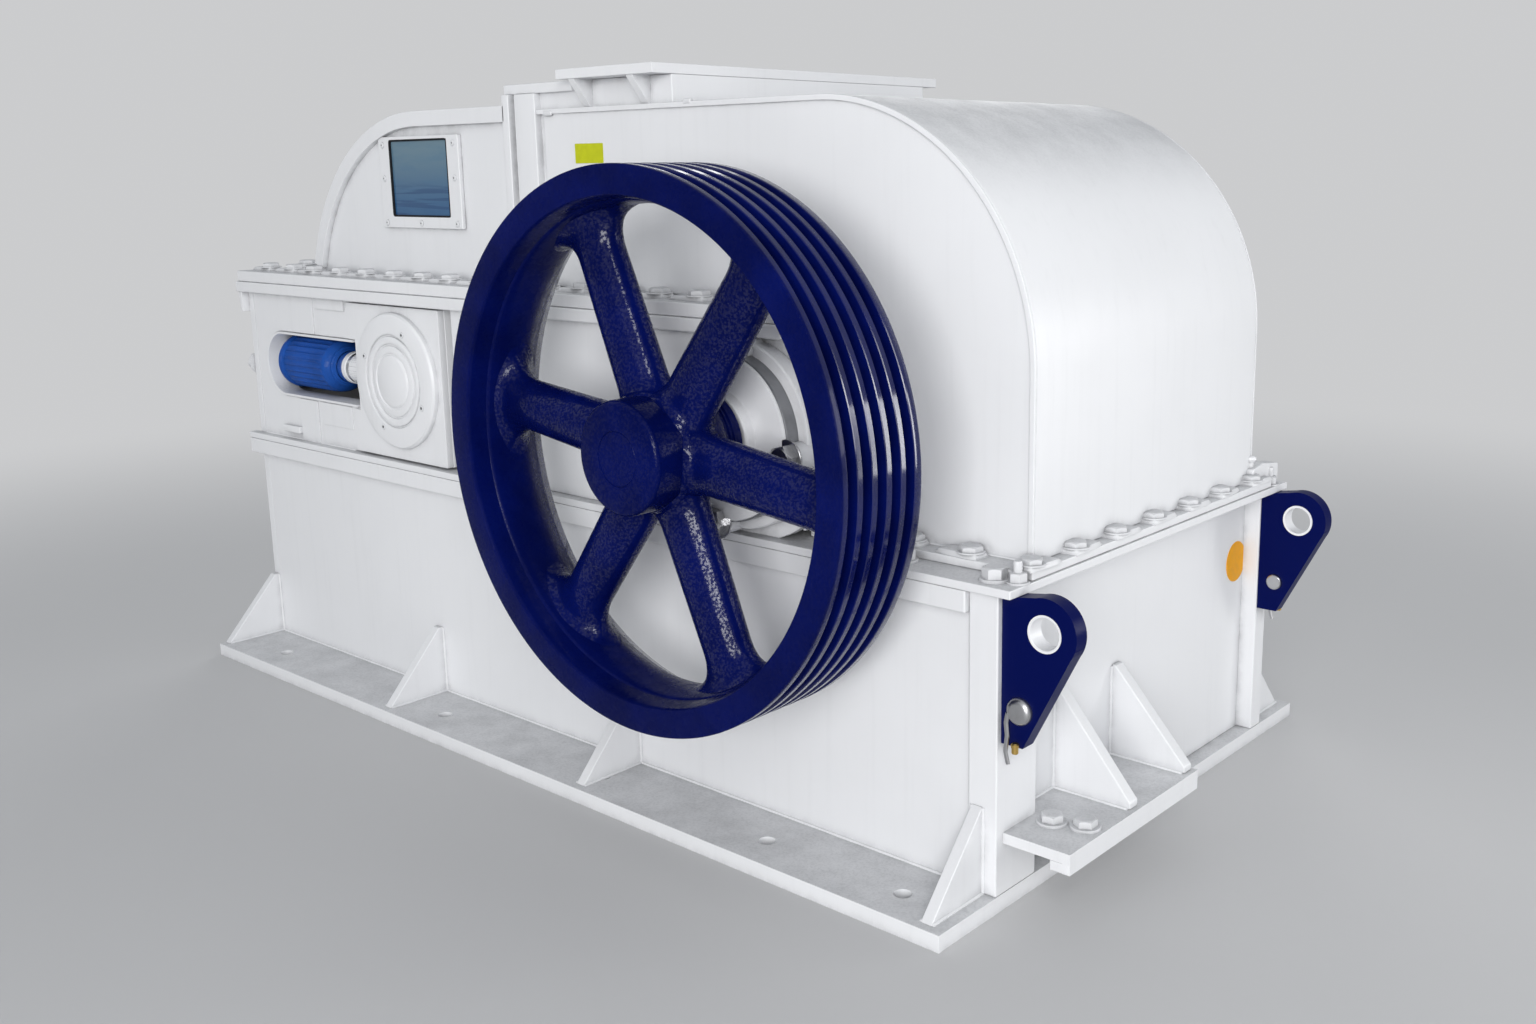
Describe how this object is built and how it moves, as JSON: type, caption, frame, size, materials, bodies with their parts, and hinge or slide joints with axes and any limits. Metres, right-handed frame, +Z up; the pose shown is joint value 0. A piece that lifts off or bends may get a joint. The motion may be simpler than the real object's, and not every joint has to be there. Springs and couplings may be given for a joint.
{
  "type": "double toothed-roll crusher",
  "caption": "White double toothed-roll crusher with curved covers, feed inlet, spoked navy belt pulleys, and a movable roll held by thrust cylinders.",
  "frame": {"origin": "floor level at the centre of the four middle foundation bolts, under the middle of the base plate", "axes": "+X along the machine from the movable roll towards the fixed roll, +Z up; the driven front is at -Y"},
  "size_m": [3.292, 2.11, 1.86],
  "materials": {
    "white_paint": "semi-gloss",
    "navy_paint": "gloss",
    "cylinder_paint": "semi-gloss",
    "window": "gloss",
    "shaft_steel": "turned",
    "roll_steel": "cast",
    "rod_chrome": "ground"
  },
  "bodies": {
    "frame": {"base_plate": "white_paint", "front_wall": "white_paint", "back_wall": "white_paint", "left_end_wall": "white_paint", "right_end_wall": "white_paint", "corner_posts": "white_paint", "lower_rails": "white_paint", "frame_top_flange": "white_paint", "wall_gussets": "white_paint", "foot_shelf": "white_paint", "foot_gussets": "white_paint", "front_slot_plate": "white_paint", "back_slot_plate": "white_paint", "front_side_plate": "white_paint", "back_side_plate": "white_paint", "upper_beams": "white_paint", "upper_cover_flange": "white_paint", "left_cover": "white_paint", "inlet_chute": "white_paint", "inlet_lip": "white_paint", "right_cover": "white_paint", "right_cover_flange": "white_paint", "inspection_frame": "white_paint", "inspection_glass": "window", "fixed_bearing_front": "white_paint", "fixed_bearing_back": "white_paint", "thrust_cylinders": "cylinder_paint", "adjusting_nuts": "white_paint", "lifting_lugs": "navy_paint", "lug_pins": "white_paint"},
    "fixed_roll_set": {"fixed_shaft": "shaft_steel", "fixed_roll": "roll_steel", "front_pulley_rim": "navy_paint", "front_pulley_spider": "navy_paint"},
    "movable_blocks": {"movable_block_front": "white_paint", "movable_block_back": "white_paint", "push_rods": "rod_chrome"},
    "movable_roll_set": {"movable_shaft": "shaft_steel", "movable_roll": "roll_steel", "back_pulley_rim": "navy_paint", "back_pulley_spider": "navy_paint"}
  },
  "joints": [
    {"name": "fixed_roll_spin", "type": "hinge", "parent": "frame", "child": "fixed_roll_set", "pos_m": [0.81, 0, 0.992], "axis": [0, -1, 0], "continuous": true},
    {"name": "movable_roll_adjust", "type": "slide", "parent": "frame", "child": "movable_blocks", "axis": [1, 0, 0], "range_m": [-0.015, 0.04]},
    {"name": "movable_roll_spin", "type": "hinge", "parent": "movable_blocks", "child": "movable_roll_set", "pos_m": [-0.65, 0, 0.992], "axis": [0, -1, 0], "continuous": true}
  ]
}
